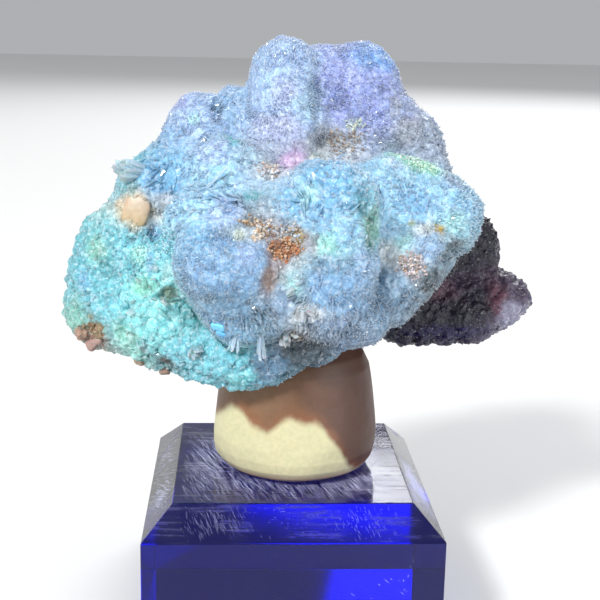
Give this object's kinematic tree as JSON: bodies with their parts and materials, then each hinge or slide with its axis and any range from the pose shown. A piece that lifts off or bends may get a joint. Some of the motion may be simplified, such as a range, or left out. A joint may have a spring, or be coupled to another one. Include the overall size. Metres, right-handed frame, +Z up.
{
  "type": "creedite mineral specimen",
  "caption": "Cluster of radiating creedite crystal balls held in a putty lump on a bevelled clear acrylic block, for display.",
  "frame": {"origin": "middle of the acrylic block's underside", "axes": "+Z up out of the block's top, display side facing -Y, +X to the display side's right"},
  "size_m": [0.0652, 0.0432, 0.0766],
  "materials": {
    "creedite": "translucent pale blue, lavender and aqua needle crystals",
    "putty": "matte cream putty, brown in its upper part",
    "acrylic": "clear polished acrylic, deep blue, with fine scratches"
  },
  "bodies": {
    "root": {"creedite_cluster": "creedite", "mounting_putty": "putty", "acrylic_base": "acrylic"}
  },
  "joints": []
}
